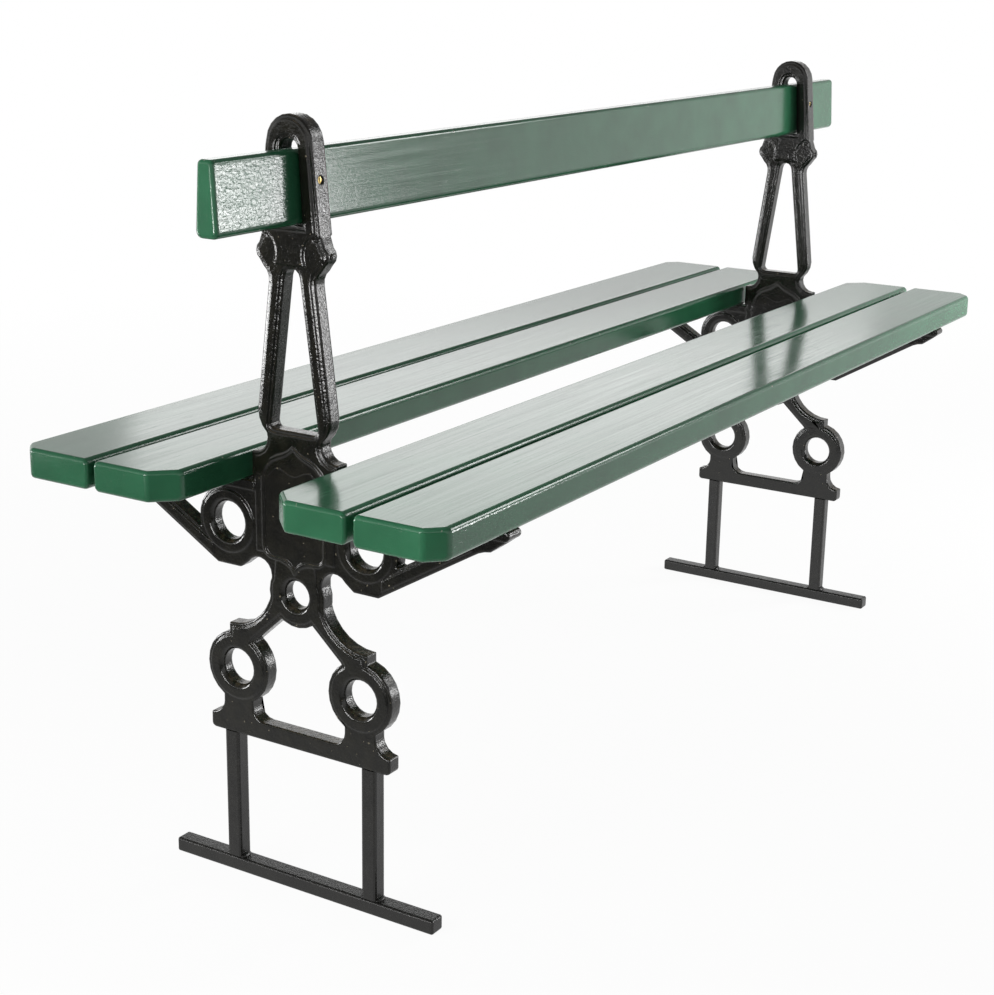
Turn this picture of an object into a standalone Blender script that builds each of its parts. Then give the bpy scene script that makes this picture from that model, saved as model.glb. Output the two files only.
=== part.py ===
"""Double-sided park bench: two cast-iron end frames on steel feet, four seat planks and one back plank.

X runs along the bench, Y across it and Z up. The origin is on the ground under the middle of the bench.
A casting is drawn in its own frame, with its origin on the underside of its crossbar.
"""

import math

import bmesh
import bpy
from mathutils import Matrix

# Overall sizes
CASTING_SPACING = 1.700
PLANK_LENGTH = 2.080
FIT_GAP = 0.0003
ARC_TOLERANCE = 0.0005
MERGE_DISTANCE = 2e-5
FLAT_ANGLE = 0.2
SMOOTH_ANGLE = 35.0

# Steel feet
GROUND_BAR_LENGTH = 0.488
GROUND_BAR_WIDTH = 0.028
GROUND_BAR_HEIGHT = 0.0235
LEG_LENGTH = 0.2105
LEG_WIDTH = 0.026
LEG_THICKNESS = 0.025
LEG_CENTRE = 0.128
BAR_EDGE_RADIUS = 0.004
TENON_RADIUS = 0.006
TENON_LENGTH = 0.015

# Casting thicknesses, measured from its mid-plane to one face
WEB_HALF = 0.0120
FACE_HALF = 0.0145
SHIELD_RIM_HALF = 0.0165
SHELF_HALF = 0.0165
LOOP_FACE_HALF = 0.0175
LEDGE = 0.0065

# Crossbar with its two pedestals
CROSSBAR_HEIGHT = 0.027
END_BLOCK_HEIGHT = 0.025
PEDESTAL_HALF_WIDTH = 0.0275
OUTER_CAVETTO = 0.026
INNER_CAVETTO = 0.0225
END_CORNER_RADIUS = 0.006

# Lower rings, limbs and hub
RING_Y = 0.113
RING_Z = 0.108
RING_RADIUS = 0.057
RING_HOLE_RADIUS = 0.028
HOLE_CHAMFER = 0.0055
LIMB_STEP_Y = 0.1265
LIMB_STEP_Z = 0.1775
LIMB_ARC_Y = 0.124
LIMB_ARC_RADIUS = 0.079
LIMB_INNER_LOW = (0.0785, 0.157)
LIMB_INNER_HIGH = (0.030, 0.201)
HUB_Z = 0.244
HUB_RADIUS = 0.050
HUB_HOLE_RADIUS = 0.0215
HOLE_SEGMENTS = 24

# Seat arms
ARCH_Y = 0.069
ARCH_Z = 0.267
ARCH_RADIUS = 0.0234
KEEL_Z = 0.269
KEEL_INNER_Y = 0.103
KEEL_OUTER_Y = 0.146
ARM_RING_Y = 0.124
ARM_RING_Z = 0.337
ARM_RING_RADIUS = 0.055
ARM_RING_HOLE_RADIUS = 0.029
STRUT_END = (0.303, 0.362)
STRUT_DEPTH = 0.031
TOE_Y = 0.331
TOE_RISE = 0.010
TOE_BOW = 0.002
NOSE_Y = 0.364
NOSE_RADIUS = 0.007
SHELF_Z = 0.407
SHELF_DEPTH = 0.015
ARM_GAP_END_Y = 0.280
ARM_GAP_TIP = 0.004
ARM_GAP_STEP = 0.004
ARM_GAP_SET_BACK = 0.010

# Central plate, shoulders and the tall upper opening
PLATE_HALF_WIDTH = 0.077
PLATE_FOOT_Z = 0.295
SHOULDER_Z = 0.4520
SHOULDER_RADIUS = 0.0235
WAIST_HALF_WIDTH = 0.0485
HIP_HALF_WIDTH = 0.065
HIP_RADIUS = 0.0426
HIP_Z = 0.515
UPRIGHT_TOP_HALF = 0.041
OPENING_FOOT_Z = 0.490
OPENING_FOOT_HALF = 0.042
OPENING_HEAD_DROP = 0.0345
OPENING_HEAD_RADIUS = 0.0135
OPENING_CORNER = 0.008
OPENING_LEDGE = 0.005

# Shield on the plate
SHIELD_HALF_WIDTH = 0.058
SHIELD_POINT_Z = 0.275
SHIELD_FLOOR_Z = 0.2935
SHIELD_FLOOR_Y = 0.026
SHIELD_CORNER = 0.020
SHIELD_SIDE_TOP_Z = 0.426
SHIELD_CUSP = (0.0285, 0.4535)
SHIELD_APEX_Z = 0.469
SHIELD_RIM_WIDTH = 0.0055
SHIELD_FOOT_BOW = 0.004
SHIELD_SIDE_BOW = 0.004
SHIELD_TOP_BOW = 0.002
SHIELD_POINT_MITRE = 1.8
SHIELD_SIDE_MITRE = 0.4
SHIELD_CUSP_MITRE = (0.3, 1.1)

# Lugs and the loop that holds the back plank, whose heights go with the lugs
LUG_Y = 0.0475
LUG_Z = 0.7445
LUG_RADIUS = 0.0155
LUG_NECK_RADIUS = 0.0215
LUG_NECK_DROP = 0.039
LUG_SCOOP_Y = 0.0565
LUG_SCOOP_RADIUS = 0.027
LOOP_FOOT_DROP = 0.022
LOOP_FOOT_HALF = 0.034
LOOP_SHOULDER_HALF = 0.0515
LOOP_SHOULDER_RISE = 0.0275
LOOP_RADIUS = 0.0395
LOOP_SIDE_ANGLE = 5.0
LOOP_LEDGE = 0.007
LOOP_HEADROOM = 0.014
LOOP_CROWN = 0.033

# Seat planks
SEAT_PLANK_WIDTH = 0.136
SEAT_PLANK_THICKNESS = 0.0457
SEAT_PLANK_START = 0.084
SEAT_PLANK_GAP = 0.011
SEAT_EDGE_RADIUS = 0.007
SEAT_END_RADIUS = 0.003
OUTER_CLIP = 0.026
INNER_CLIP = 0.036

# Back plank
BACK_SEAT_RISE = 0.041
BACK_PLANK_HEIGHT = 0.103
BACK_PLANK_HALF_FOOT = 0.020
BACK_PLANK_HALF_HEAD = 0.0135
BACK_FOOT_EDGE_RADIUS = 0.0075
BACK_HEAD_EDGE_RADIUS = 0.0055
BACK_PLANK_PLAY = 0.0015

# Screws
SEAT_SCREW_RADIUS = 0.003
SEAT_SCREW_HEAD_RADIUS = 0.0065
SEAT_SCREW_HEAD_HEIGHT = 0.004
SEAT_SCREW_BITE = 0.030
SEAT_SCREW_INNER_Y = 0.197
SEAT_SCREW_OUTER_Y = 0.350
SEAT_SCREW_SHELF = 0.011
BACK_SCREW_RADIUS = 0.0025
BACK_SCREW_HEAD_RADIUS = 0.0045
BACK_SCREW_HEAD_DEPTH = 0.003
BACK_SCREW_SET_IN = 0.0025
BACK_SCREW_BORE_RADIUS = 0.0058
BACK_SCREW_RISE = 0.0625
BACK_SCREW_WOOD_BETWEEN = 0.008
SCREW_POINT = 0.006
ROUND_SEGMENTS = 12

CASTING_Z = GROUND_BAR_HEIGHT + LEG_LENGTH
SEAT_REST_Z = CASTING_Z + SHELF_Z
OPENING_HEAD_Z = LUG_Z - OPENING_HEAD_DROP
LOOP_SHOULDER = (LOOP_SHOULDER_HALF, LUG_Z + LOOP_SHOULDER_RISE)
BACK_SEAT_Z = LUG_Z + BACK_SEAT_RISE
BACK_SCREW_Z = BACK_SEAT_Z + BACK_SCREW_RISE
LOOP_CENTRE_Z = BACK_SEAT_Z + BACK_PLANK_HEIGHT + LOOP_HEADROOM + LOOP_CROWN - LOOP_RADIUS


def arc(centre, radius, start, end):
    """Points of a circular arc, from one angle to another in degrees."""
    sweep = math.radians(end - start)
    step = 2.0 * math.acos(1.0 - min(ARC_TOLERANCE / radius, 0.5))
    count = max(2, math.ceil(abs(sweep) / step))
    angles = [math.radians(start) + sweep * i / count for i in range(count + 1)]
    return [(centre[0] + radius * math.cos(a), centre[1] + radius * math.sin(a)) for a in angles]


def bowed(start, end, rise):
    """Points of a shallow arc between two points, which stands off its chord by a small rise."""
    (y0, z0), (y1, z1) = start, end
    chord = math.hypot(y1 - y0, z1 - z0)
    radius = (chord * chord / 4.0 + rise * rise) / (2.0 * abs(rise))
    side = math.copysign(1.0, rise)
    normal = (-(z1 - z0) / chord * side, (y1 - y0) / chord * side)
    offset = radius - abs(rise)
    centre = ((y0 + y1) / 2.0 - normal[0] * offset, (z0 + z1) / 2.0 - normal[1] * offset)
    first = math.degrees(math.atan2(z0 - centre[1], y0 - centre[0]))
    last = math.degrees(math.atan2(z1 - centre[1], y1 - centre[0]))
    turn = (last - first + 180.0) % 360.0 - 180.0
    return arc(centre, radius, first, first + turn)


def along(start, end, place):
    """Second coordinate, where the first is at a place, of the straight line through two points."""
    return start[1] + (end[1] - start[1]) * (place - start[0]) / (end[0] - start[0])


def both_sides(half):
    """A closed outline from its +Y half, which starts and ends on the axis."""
    return half + [(-y, z) for y, z in reversed(half[1:-1])]


def other_side(outline):
    """The same outline on the -Y side."""
    return [(-y, z) for y, z in reversed(outline)]


def new_object(name, bm):
    """Put a finished bmesh into a linked object."""
    bmesh.ops.recalc_face_normals(bm, faces=bm.faces[:])
    mesh = bpy.data.meshes.new(name)
    bm.to_mesh(mesh)
    bm.free()
    body = bpy.data.objects.new(name, mesh)
    bpy.context.collection.objects.link(body)
    return body


def extruded(bm, faces, distance):
    """Extrude faces along -X, drop the faces they came from and give back the moved ones."""
    grown = bmesh.ops.extrude_face_region(bm, geom=faces)["geom"]
    moved = [g for g in grown if isinstance(g, bmesh.types.BMVert)]
    bmesh.ops.translate(bm, verts=moved, vec=(-distance, 0, 0))
    bmesh.ops.delete(bm, geom=[f for f in faces if f.is_valid], context="FACES")
    return [g for g in grown if isinstance(g, bmesh.types.BMFace)]


def both_faces(bm):
    """Mirror the half of a casting plate that is open at its mid-plane."""
    whole = bm.verts[:] + bm.edges[:] + bm.faces[:]
    bmesh.ops.mirror(bm, geom=whole, matrix=Matrix(), merge_dist=MERGE_DISTANCE, axis="X")
    return new_object("plate", bm)


def slab(outlines, half, ledge=0.0, face_half=0.0):
    """Flat cast plates, equal on both sides, whose middle may stand up inside a ledge of even width."""
    bm = bmesh.new()
    for outline in outlines:
        start = bm.faces.new([bm.verts.new((0.0, y, z)) for y, z in outline])
        front = extruded(bm, [start], half)
        if ledge:
            bmesh.ops.inset_region(bm, faces=front, thickness=ledge, use_even_offset=True)
            extruded(bm, front, face_half - half)
    return both_faces(bm)


def pockets(outline, floor_half, open_half):
    """Cutters for one sunk panel on each face of the casting."""
    bm = bmesh.new()
    floor = [bm.verts.new((-floor_half, y, z)) for y, z in outline]
    extruded(bm, [bm.faces.new(floor)], open_half - floor_half)
    bm.faces.new(floor)
    return both_faces(bm)


def turned(profile, matrix, segments=ROUND_SEGMENTS):
    """A closed turned solid along +Z, from pairs of radius and height, moved by a matrix."""
    bm = bmesh.new()
    rings = []
    for radius, height in profile:
        lift = Matrix.Translation((0, 0, height))
        circle = bmesh.ops.create_circle(bm, radius=radius, segments=segments, matrix=lift)
        rings.append(circle["verts"])
    for pair in zip(rings, rings[1:]):
        loops = [e for e in bm.edges if any(all(v in ring for v in e.verts) for ring in pair)]
        bmesh.ops.bridge_loops(bm, edges=loops)
    bm.faces.new(rings[0])
    bm.faces.new(rings[-1])
    bmesh.ops.transform(bm, matrix=matrix, verts=bm.verts[:])
    return new_object("turned", bm)


def combine(target, tools, operation):
    """Join tools to a target in one go, or cut them out, and remove the tools."""
    group = bpy.data.collections.new("tools")
    bpy.context.collection.children.link(group)
    for tool in tools:
        bpy.context.collection.objects.unlink(tool)
        group.objects.link(tool)
    modifier = target.modifiers.new(operation.lower(), "BOOLEAN")
    modifier.operation = operation
    modifier.solver = "EXACT"
    modifier.operand_type = "COLLECTION"
    modifier.collection = group
    graph = bpy.context.evaluated_depsgraph_get()
    result = bpy.data.meshes.new_from_object(target.evaluated_get(graph))
    target.modifiers.clear()
    old = target.data
    target.data = result
    bpy.data.meshes.remove(old)
    for tool in tools:
        bpy.data.objects.remove(tool)
    bpy.data.collections.remove(group)


def tidy(body):
    """Merge the points that a Boolean leaves on top of each other and the flat faces that it splits."""
    bm = bmesh.new()
    bm.from_mesh(body.data)
    bmesh.ops.remove_doubles(bm, verts=bm.verts[:], dist=MERGE_DISTANCE)
    bmesh.ops.dissolve_degenerate(bm, edges=bm.edges[:], dist=MERGE_DISTANCE)
    bmesh.ops.dissolve_limit(bm, angle_limit=math.radians(FLAT_ANGLE), verts=bm.verts[:], edges=bm.edges[:])
    bmesh.ops.triangulate(bm, faces=bm.faces[:])
    bmesh.ops.delete(bm, geom=[e for e in bm.edges if not e.link_faces], context="EDGES")
    bm.to_mesh(body.data)
    bm.free()


def shade(body):
    """Smooth shading that keeps the sharper edges."""
    body.data.shade_smooth()
    body.data.set_sharp_from_angle(angle=math.radians(SMOOTH_ANGLE))


def finish(name, colour, roughness, metallic):
    """A plain material."""
    material = bpy.data.materials.new(name)
    material.use_nodes = True
    shader = material.node_tree.nodes["Principled BSDF"]
    shader.inputs["Base Color"].default_value = (*colour, 1.0)
    shader.inputs["Roughness"].default_value = roughness
    shader.inputs["Metallic"].default_value = metallic
    return material


def dress(body, name, material, location=(0, 0, 0)):
    """Name a finished piece, give it its material and put it in its place."""
    body.name = name
    body.data.name = name
    body.data.materials.clear()
    body.data.materials.append(material)
    body.location = location
    return body


def base_outline():
    """Crossbar and the concave pedestals that carry the lower rings."""
    outer = RING_Y + PEDESTAL_HALF_WIDTH
    inner = RING_Y - PEDESTAL_HALF_WIDTH
    end = outer + OUTER_CAVETTO
    half = [(0.0, 0.0)]
    half += arc((end - END_CORNER_RADIUS, END_CORNER_RADIUS), END_CORNER_RADIUS, 270, 360)
    half += arc((end, END_BLOCK_HEIGHT + OUTER_CAVETTO), OUTER_CAVETTO, 270, 180)
    half += [(outer, RING_Z), (inner, RING_Z)]
    half += arc((inner - INNER_CAVETTO, CROSSBAR_HEIGHT + INNER_CAVETTO), INNER_CAVETTO, 0, -90)
    half += [(0.0, CROSSBAR_HEIGHT)]
    return both_sides(half)


def limb_outline():
    """One lower limb, from its ring to the hub, with the square step over the ring."""
    arc_z = LIMB_STEP_Z + LIMB_ARC_RADIUS
    high_z = PLATE_FOOT_Z + LEDGE
    outline = [(RING_Y, RING_Z), (LIMB_STEP_Y, RING_Z), (LIMB_STEP_Y, LIMB_STEP_Z)]
    outline += arc((LIMB_ARC_Y, arc_z), LIMB_ARC_RADIUS, 271, 178)
    past_axis = -2.0 * LEDGE
    outline += [(WAIST_HALF_WIDTH - LEDGE, high_z), (past_axis, high_z), (past_axis, HUB_Z)]
    return outline + [LIMB_INNER_HIGH, LIMB_INNER_LOW]


def strut_low(y):
    """Underside of the strut that rises from the keel to the end of the arm."""
    return along((KEEL_OUTER_Y, KEEL_Z), STRUT_END, y)


def nose_arc():
    """Round nose at the end of one arm's shelf."""
    return arc((NOSE_Y - NOSE_RADIUS, SHELF_Z - NOSE_RADIUS), NOSE_RADIUS, -60, 90)


def web_outline():
    """Seat arms and the lower half of the plate, without the openings."""
    arch_left = ARCH_Y - ARCH_RADIUS
    toe = (TOE_Y, STRUT_END[1] + TOE_RISE)
    half = [(0.0, HUB_Z), (arch_left, HUB_Z)]
    half += arc((ARCH_Y, ARCH_Z), ARCH_RADIUS, 180, 35)
    half += [(KEEL_INNER_Y, KEEL_Z), (KEEL_OUTER_Y, KEEL_Z), STRUT_END]
    half += bowed(STRUT_END, toe, TOE_BOW)[1:]
    half += [nose_arc()[0], nose_arc()[-1]]
    top_z = SHOULDER_Z - LEDGE
    half += [(PLATE_HALF_WIDTH, SHELF_Z), (PLATE_HALF_WIDTH, top_z), (0.0, top_z)]
    return both_sides(half)


def shelf_outline():
    """Shelf along the top of one arm, on which the planks rest."""
    root = PLATE_HALF_WIDTH - LEDGE
    low = [(root, SHELF_Z - SHELF_DEPTH), (NOSE_Y - NOSE_RADIUS, SHELF_Z - SHELF_DEPTH)]
    return low + nose_arc() + [(root, SHELF_Z)]


def strut_band_outline():
    """Raised middle of the strut, from the arm ring to the end of the gap beside it."""
    start = ARM_RING_Y + ARM_RING_HOLE_RADIUS
    low = [(start, strut_low(start) + LEDGE), (STRUT_END[0], strut_low(STRUT_END[0]) + LEDGE)]
    rise = STRUT_DEPTH - 2.0 * LEDGE
    return low + [(y, z + rise) for y, z in reversed(low)]


def arm_gap_outline():
    """Three-sided gap between the arm ring, the shelf and the strut."""
    under_shelf = SHELF_Z - SHELF_DEPTH
    ring = arc((ARM_RING_Y, ARM_RING_Z), ARM_RING_RADIUS, 65, -16)
    tip = (ARM_GAP_END_Y, min(strut_low(ARM_GAP_END_Y) + STRUT_DEPTH, under_shelf - ARM_GAP_TIP))
    start_y = ring[-1][0] + ARM_GAP_STEP
    start = (start_y, strut_low(start_y) + STRUT_DEPTH)
    return [(ring[0][0] + ARM_GAP_SET_BACK, under_shelf)] + ring + [start, tip, (ARM_GAP_END_Y, under_shelf)]


def upper_outline():
    """Plate, shoulders, waist, the two uprights and the lugs."""
    half = [(0.0, PLATE_FOOT_Z), (PLATE_HALF_WIDTH, PLATE_FOOT_Z), (PLATE_HALF_WIDTH, SHOULDER_Z)]
    shoulder = (WAIST_HALF_WIDTH + SHOULDER_RADIUS, SHOULDER_Z + SHOULDER_RADIUS)
    half += arc(shoulder, SHOULDER_RADIUS, 270, 180)
    hip_y = HIP_HALF_WIDTH - HIP_RADIUS
    waist = math.degrees(math.acos((WAIST_HALF_WIDTH - hip_y) / HIP_RADIUS))
    half += arc((hip_y, HIP_Z), HIP_RADIUS, 2.0 - waist, 0)
    neck = (UPRIGHT_TOP_HALF + LUG_NECK_RADIUS, LUG_Z - LUG_NECK_DROP)
    half += arc(neck, LUG_NECK_RADIUS, 188, 125)
    half += arc((LUG_Y, LUG_Z), LUG_RADIUS, -55, 55)
    half += [LOOP_SHOULDER, (0.0, LOOP_SHOULDER[1])]
    return both_sides(half)


def opening_outline(margin):
    """Tall tapered opening between the uprights, or the edge of the ledge round it at a margin."""
    corner = OPENING_CORNER + margin
    foot = (OPENING_FOOT_HALF - OPENING_CORNER, OPENING_FOOT_Z + OPENING_CORNER)
    half = [(0.0, OPENING_FOOT_Z - margin)]
    half += arc(foot, corner, 270, 360)
    half += arc((0.0, OPENING_HEAD_Z), OPENING_HEAD_RADIUS + margin, 5, 90)
    return both_sides(half)


def loop_outline():
    """Loop over the back plank, with its foot scooped out round the lugs."""
    foot_z = LUG_Z - LOOP_FOOT_DROP
    half = [(0.0, foot_z), (LOOP_FOOT_HALF, foot_z)]
    half += arc((LUG_SCOOP_Y, LUG_Z), LUG_SCOOP_RADIUS, 205, 115)
    half += [LOOP_SHOULDER]
    half += arc((0.0, LOOP_CENTRE_Z), LOOP_RADIUS, LOOP_SIDE_ANGLE, 90)
    return both_sides(half)


def back_plank_half(z):
    """Half-thickness of the tapered back plank at a height in the casting."""
    head_z = BACK_SEAT_Z + BACK_PLANK_HEIGHT
    return along((BACK_SEAT_Z, BACK_PLANK_HALF_FOOT), (head_z, BACK_PLANK_HALF_HEAD), z)


def loop_gap_half(z):
    """Half-width of the gap in the loop, which follows the taper of the back plank."""
    return back_plank_half(z) + BACK_PLANK_PLAY


def loop_gap_outline(margin):
    """Gap in the loop, or the edge of the ledge round it at a given margin."""
    foot_z = BACK_SEAT_Z - FIT_GAP
    head_z = BACK_SEAT_Z + BACK_PLANK_HEIGHT
    half = [(0.0, foot_z - margin), (loop_gap_half(foot_z) + margin, foot_z - margin)]
    head_radius = loop_gap_half(head_z) + margin
    squash = (LOOP_HEADROOM + margin) / head_radius
    half += [(y, head_z + z * squash) for y, z in arc((0.0, 0.0), head_radius, 0, 90)]
    return both_sides(half)


def shield_outline(margin):
    """Shield with a pointed foot, round corners and a cusped top, or one at a margin inside it."""
    side = SHIELD_HALF_WIDTH - margin
    corner = (SHIELD_HALF_WIDTH - SHIELD_CORNER, SHIELD_FLOOR_Z + SHIELD_CORNER)
    point = (0.0, SHIELD_POINT_Z + SHIELD_POINT_MITRE * margin)
    cusp = tuple(c - mitre * margin for c, mitre in zip(SHIELD_CUSP, SHIELD_CUSP_MITRE))
    half = bowed(point, (SHIELD_FLOOR_Y, SHIELD_FLOOR_Z + margin), SHIELD_FOOT_BOW)
    half += arc(corner, SHIELD_CORNER - margin, 270, 360)
    half += bowed((side, SHIELD_SIDE_TOP_Z - SHIELD_SIDE_MITRE * margin), cusp, -SHIELD_SIDE_BOW)
    half += bowed(cusp, (0.0, SHIELD_APEX_Z - margin), SHIELD_TOP_BOW)[1:]
    return both_sides(half)


def bevelled_hole(y, z, radius, face_half):
    """Cutter for a round hole with a wide chamfer on both faces."""
    outside = face_half + HOLE_CHAMFER
    throat = face_half - HOLE_CHAMFER
    wide = radius + 2.0 * HOLE_CHAMFER
    profile = [(wide, -outside), (radius, -throat), (radius, throat), (wide, outside)]
    matrix = Matrix.Translation((0, y, z)) @ Matrix.Rotation(math.radians(90), 4, "Y")
    return turned(profile, matrix, segments=HOLE_SEGMENTS)


def seat_screw_places():
    """Distance from the axis and height of the head's seat, for the screws of one arm."""
    inner_seat = SHELF_Z - SHELF_DEPTH
    outer_seat = SHELF_Z - SEAT_SCREW_SHELF
    return [("inner", SEAT_SCREW_INNER_Y, inner_seat), ("outer", SEAT_SCREW_OUTER_Y, outer_seat)]


def loop_side(z):
    """Half-width of the loop's straight outer side at a height."""
    top_angle = math.radians(LOOP_SIDE_ANGLE)
    top = (LOOP_RADIUS * math.cos(top_angle), LOOP_CENTRE_Z + LOOP_RADIUS * math.sin(top_angle))
    return along((LOOP_SHOULDER[1], LOOP_SHOULDER[0]), (top[1], top[0]), z)


def screw_hole(profile, matrix):
    """Cutter for a hole that clears a screw all round."""
    grown = [(radius + FIT_GAP, height) for radius, height in profile]
    return turned(grown, matrix)


def casting_slabs():
    """The casting's plates, from the thickest down, as separate solids that overlap."""
    hub = arc((0.0, HUB_Z), HUB_RADIUS, 0, 360)[:-1]
    rings = arc((RING_Y, RING_Z), RING_RADIUS, 0, 360)[:-1]
    arm_rings = arc((ARM_RING_Y, ARM_RING_Z), ARM_RING_RADIUS, 0, 360)[:-1]
    plates = [slab([base_outline()], WEB_HALF), slab([web_outline()], WEB_HALF)]
    plates.append(slab([hub], WEB_HALF, LEDGE, FACE_HALF))
    for outline in (rings, arm_rings, limb_outline()):
        plates.append(slab([outline], WEB_HALF, LEDGE, FACE_HALF))
        plates.append(slab([other_side(outline)], WEB_HALF, LEDGE, FACE_HALF))
    plates.append(slab([strut_band_outline(), other_side(strut_band_outline())], FACE_HALF))
    plates.append(slab([shelf_outline(), other_side(shelf_outline())], SHELF_HALF))
    plates.append(slab([upper_outline()], WEB_HALF, LEDGE, FACE_HALF))
    plates.append(slab([shield_outline(0.0)], SHIELD_RIM_HALF))
    plates.append(slab([loop_outline()], FACE_HALF, LEDGE, LOOP_FACE_HALF))
    return plates


def casting_cutters():
    """Everything that is cut out of the casting."""
    through = 2.0 * LOOP_FACE_HALF
    cutters = [slab([arm_gap_outline(), other_side(arm_gap_outline())], through)]
    cutters.append(slab([opening_outline(0.0)], through))
    cutters.append(pockets(opening_outline(OPENING_LEDGE), WEB_HALF, through))
    cutters.append(slab([loop_gap_outline(0.0)], through))
    cutters.append(pockets(shield_outline(SHIELD_RIM_WIDTH), FACE_HALF, through))
    cutters.append(pockets(loop_gap_outline(LOOP_LEDGE), FACE_HALF, through))
    cutters.append(bevelled_hole(0.0, HUB_Z, HUB_HOLE_RADIUS, FACE_HALF))
    for side in (-1, 1):
        cutters.append(bevelled_hole(side * RING_Y, RING_Z, RING_HOLE_RADIUS, FACE_HALF))
        cutters.append(bevelled_hole(side * ARM_RING_Y, ARM_RING_Z, ARM_RING_HOLE_RADIUS, FACE_HALF))
        socket = [(TENON_RADIUS, -TENON_LENGTH), (TENON_RADIUS, TENON_LENGTH)]
        cutters.append(screw_hole(socket, Matrix.Translation((0, side * LEG_CENTRE, 0))))
        for name, y, seat in seat_screw_places():
            place = Matrix.Translation((0, side * y, seat))
            head = SEAT_SCREW_HEAD_RADIUS + FIT_GAP
            bore = [(SEAT_SCREW_RADIUS, 0.0), (SEAT_SCREW_RADIUS, 2.0 * SHELF_DEPTH)]
            cutters.append(screw_hole(bore, place @ Matrix.Translation((0, 0, -SCREW_POINT / 2.0))))
            if name == "outer":
                cutters.append(turned([(head, -SHELF_Z + STRUT_END[1]), (head, 0.0)], place))
        cutters.append(screw_hole(back_screw_profile(), back_screw_place(side)))
        cutters.append(turned(back_bore_profile(), back_screw_place(side)))
    return cutters


def back_screw_profile():
    """Countersunk wood screw, from its point to its flat head, along +Z."""
    length = loop_side(BACK_SCREW_Z) - BACK_SCREW_WOOD_BETWEEN / 2.0
    return [(BACK_SCREW_RADIUS / 4.0, 0.0), (BACK_SCREW_RADIUS, SCREW_POINT),
            (BACK_SCREW_RADIUS, length - BACK_SCREW_HEAD_DEPTH), (BACK_SCREW_HEAD_RADIUS, length)]


def back_bore_profile():
    """Bore in the loop's side, from the top of a back screw's head outwards."""
    start = back_screw_profile()[-1][1] - 2.0 * FIT_GAP
    return [(BACK_SCREW_BORE_RADIUS, start), (BACK_SCREW_BORE_RADIUS, start + LOOP_RADIUS)]


def back_screw_place(side):
    """Place of a back screw in the casting, with its head at the bottom of a bore in the loop's side."""
    length = back_screw_profile()[-1][1]
    turn = Matrix.Rotation(math.radians(-90 * side), 4, "X")
    head_y = loop_side(BACK_SCREW_Z) - BACK_SCREW_SET_IN
    return Matrix.Translation((0, side * (head_y - length), BACK_SCREW_Z)) @ turn


def make_casting():
    """One end frame: plates joined, then the openings, sunk panels and screw holes cut."""
    plates = casting_slabs()
    casting = plates[0]
    combine(casting, plates[1:], "UNION")
    combine(casting, casting_cutters(), "DIFFERENCE")
    tidy(casting)
    shade(casting)
    return casting


def bar(size, edge_radius):
    """Straight square bar, centred on the origin, with rounded long edges."""
    bm = bmesh.new()
    bmesh.ops.create_cube(bm, size=1.0, matrix=Matrix.Diagonal((*size, 1.0)))
    length = max(size)
    long_edges = [e for e in bm.edges if abs(e.calc_length() - length) < ARC_TOLERANCE]
    bmesh.ops.bevel(bm, geom=long_edges, offset=edge_radius, affect="EDGES", segments=2, profile=0.5)
    return new_object("bar", bm)


def make_leg():
    """Leg with its origin on the ground bar and a round tenon for the crossbar's socket."""
    height = LEG_LENGTH - 2.0 * FIT_GAP
    leg = bar((LEG_THICKNESS, LEG_WIDTH, height), BAR_EDGE_RADIUS)
    leg.data.transform(Matrix.Translation((0, 0, height / 2.0 + FIT_GAP)))
    top = height + FIT_GAP
    tenon = [(TENON_RADIUS, top - TENON_LENGTH), (TENON_RADIUS, top + TENON_LENGTH - 2.0 * FIT_GAP)]
    combine(leg, [turned(tenon, Matrix())], "UNION")
    tidy(leg)
    shade(leg)
    return leg


def rounded_plank(plan, thickness):
    """Plank from a plan outline in X and Y, with its long edges rounded and its ends eased."""
    bm = bmesh.new()
    start = bm.faces.new([bm.verts.new((x, y, 0.0)) for x, y in plan])
    grown = bmesh.ops.extrude_face_region(bm, geom=[start])["geom"]
    top = [g for g in grown if isinstance(g, bmesh.types.BMVert)]
    bmesh.ops.translate(bm, verts=top, vec=(0, 0, thickness))
    bmesh.ops.recalc_face_normals(bm, faces=bm.faces[:])
    level = [e for e in bm.edges if abs(e.verts[0].co.z - e.verts[1].co.z) < ARC_TOLERANCE]
    longest = max(e.calc_length() for e in level)
    sides = [e for e in level if e.calc_length() > longest / 2.0]
    ends = [e for e in level if e.calc_length() <= longest / 2.0]
    bmesh.ops.bevel(bm, geom=sides, offset=SEAT_EDGE_RADIUS, affect="EDGES", segments=3, profile=0.5)
    ends = [e for e in ends if e.is_valid]
    bmesh.ops.bevel(bm, geom=ends, offset=SEAT_END_RADIUS, affect="EDGES", segments=2, profile=0.5)
    return new_object("plank", bm)


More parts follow.
